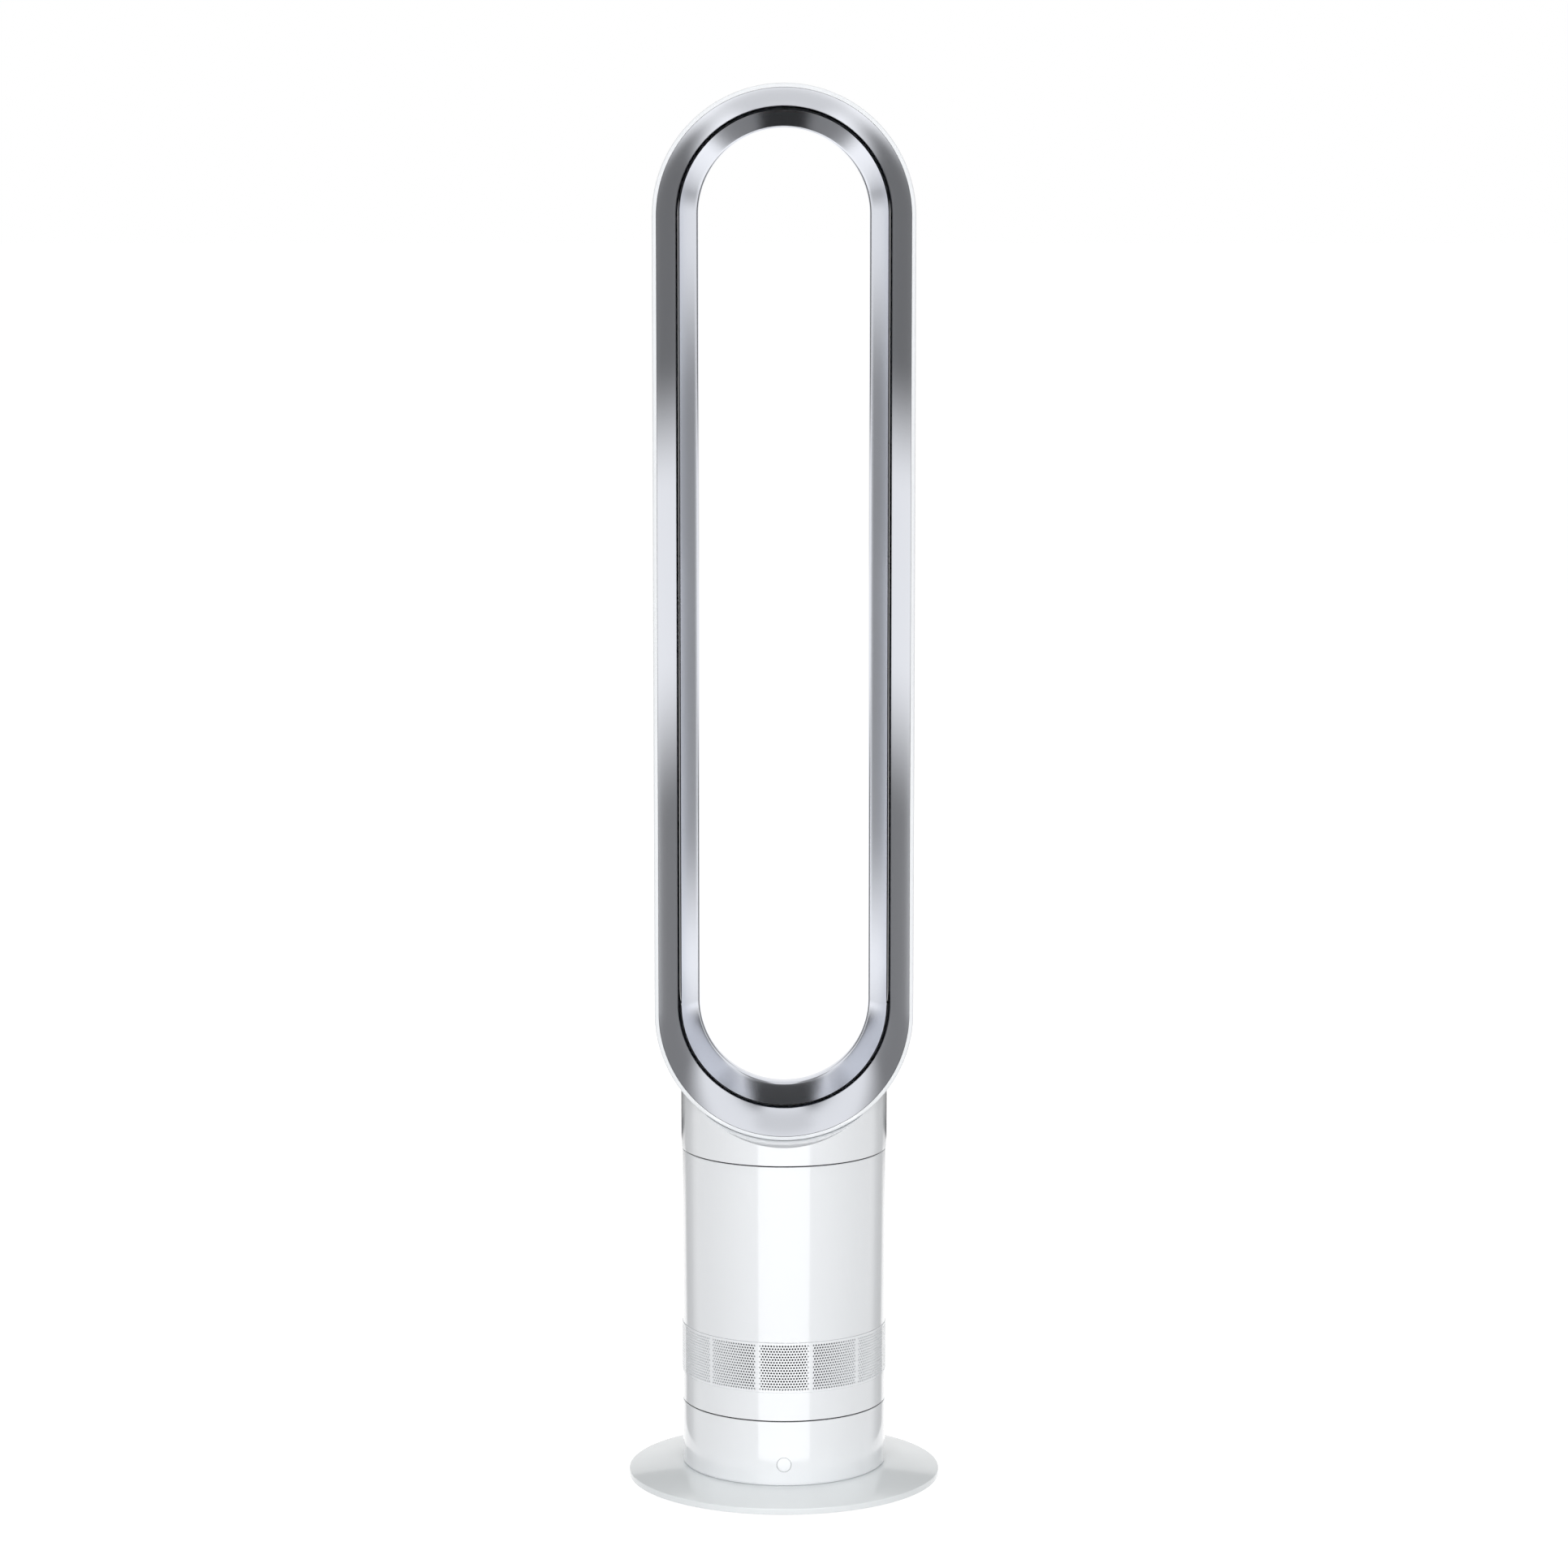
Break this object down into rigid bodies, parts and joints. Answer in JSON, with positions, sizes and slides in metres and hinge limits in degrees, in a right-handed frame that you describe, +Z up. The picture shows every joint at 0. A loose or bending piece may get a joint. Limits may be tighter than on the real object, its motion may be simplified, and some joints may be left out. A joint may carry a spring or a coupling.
{
  "type": "bladeless tower fan",
  "caption": "Tall bladeless fan: racetrack air loop on a cylindrical tower with a perforated inlet band, swivelling on a round base.",
  "frame": {"origin": "centre of the feet's plane on the floor, under the swivel axis", "axes": "+Z up along the swivel axis, -Y towards the front of the loop, +X to its right"},
  "size_m": [0.228, 0.228, 1.0169],
  "materials": {
    "white_plastic": "glossy moulded plastic, cool white",
    "silver_loop": "satin silver lacquer on plastic",
    "plate_plastic": "glossy moulded plastic, pale cool grey",
    "dark_plastic": "moulded dark grey plastic",
    "rubber": "soft black rubber",
    "steel": "plain machined steel",
    "acetal": "natural acetal",
    "board": "green circuit board",
    "components": "dark electronic parts",
    "foam": "open cell acoustic foam",
    "motor_steel": "laminated and plated motor steel"
  },
  "bodies": {
    "base": {"base_plate": "plate_plastic", "base_cover": "dark_plastic", "ballast_plate": "steel", "rubber_feet": "rubber", "plate_screws": "steel", "lower_housing": "white_plastic", "tact_switch": "components", "button_board": "board", "control_board": "board", "board_components": "components", "dc_socket": "dark_plastic", "bearing_plate": "dark_plastic", "bearing_plate_screws": "steel", "spigot_bush": "acetal", "glide_ring": "acetal", "thrust_washer": "acetal", "oscillation_motor": "motor_steel", "motor_screws": "steel"},
    "button": {"power_button": "white_plastic", "switch_plunger": "rubber"},
    "pinion": {"pinion_shaft": "steel", "drive_pinion": "acetal"},
    "tower": {"turntable": "dark_plastic", "turntable_screws": "steel", "retaining_clip": "steel", "inlet_housing": "white_plastic", "inlet_grille": "white_plastic", "main_housing": "white_plastic", "lower_foam": "foam", "upper_foam": "foam", "impeller_shroud": "dark_plastic", "shroud_mounts": "rubber", "bucket_lower": "dark_plastic", "bucket_upper": "dark_plastic", "diffuser": "dark_plastic", "stator": "motor_steel", "shaft_bearings": "steel", "bearing_bridge": "dark_plastic", "driver_board": "board", "bucket_screws": "steel", "collar": "white_plastic", "loop_seal": "rubber", "loop_screws": "steel", "outer_shell": "white_plastic", "front_flare": "silver_loop", "throat_top": "silver_loop", "throat_bottom": "silver_loop", "throat_sides": "silver_loop"},
    "impeller": {"rotor": "motor_steel", "motor_shaft": "steel", "impeller": "dark_plastic"}
  },
  "joints": [
    {"name": "oscillation", "type": "hinge", "parent": "base", "child": "tower", "pos_m": [0, 0, 0.05], "axis": [0, 0, 1], "range_deg": [-35, 35]},
    {"name": "pinion_spin", "type": "hinge", "parent": "base", "child": "pinion", "pos_m": [0.04157, 0.024, 0.05], "axis": [0, 0, 1], "range_deg": [-176, 176]},
    {"name": "impeller_spin", "type": "hinge", "parent": "tower", "child": "impeller", "pos_m": [0, 0, 0.16], "axis": [0, 0, 1], "continuous": true},
    {"name": "button_press", "type": "slide", "parent": "base", "child": "button", "axis": [0, 1, 0], "range_m": [0, 0.001], "stiffness_N_per_m": 600, "springref_m": -0.0008}
  ],
  "couplings": [
    {"joint": "pinion_spin", "follows": "oscillation", "ratio": 5}
  ]
}
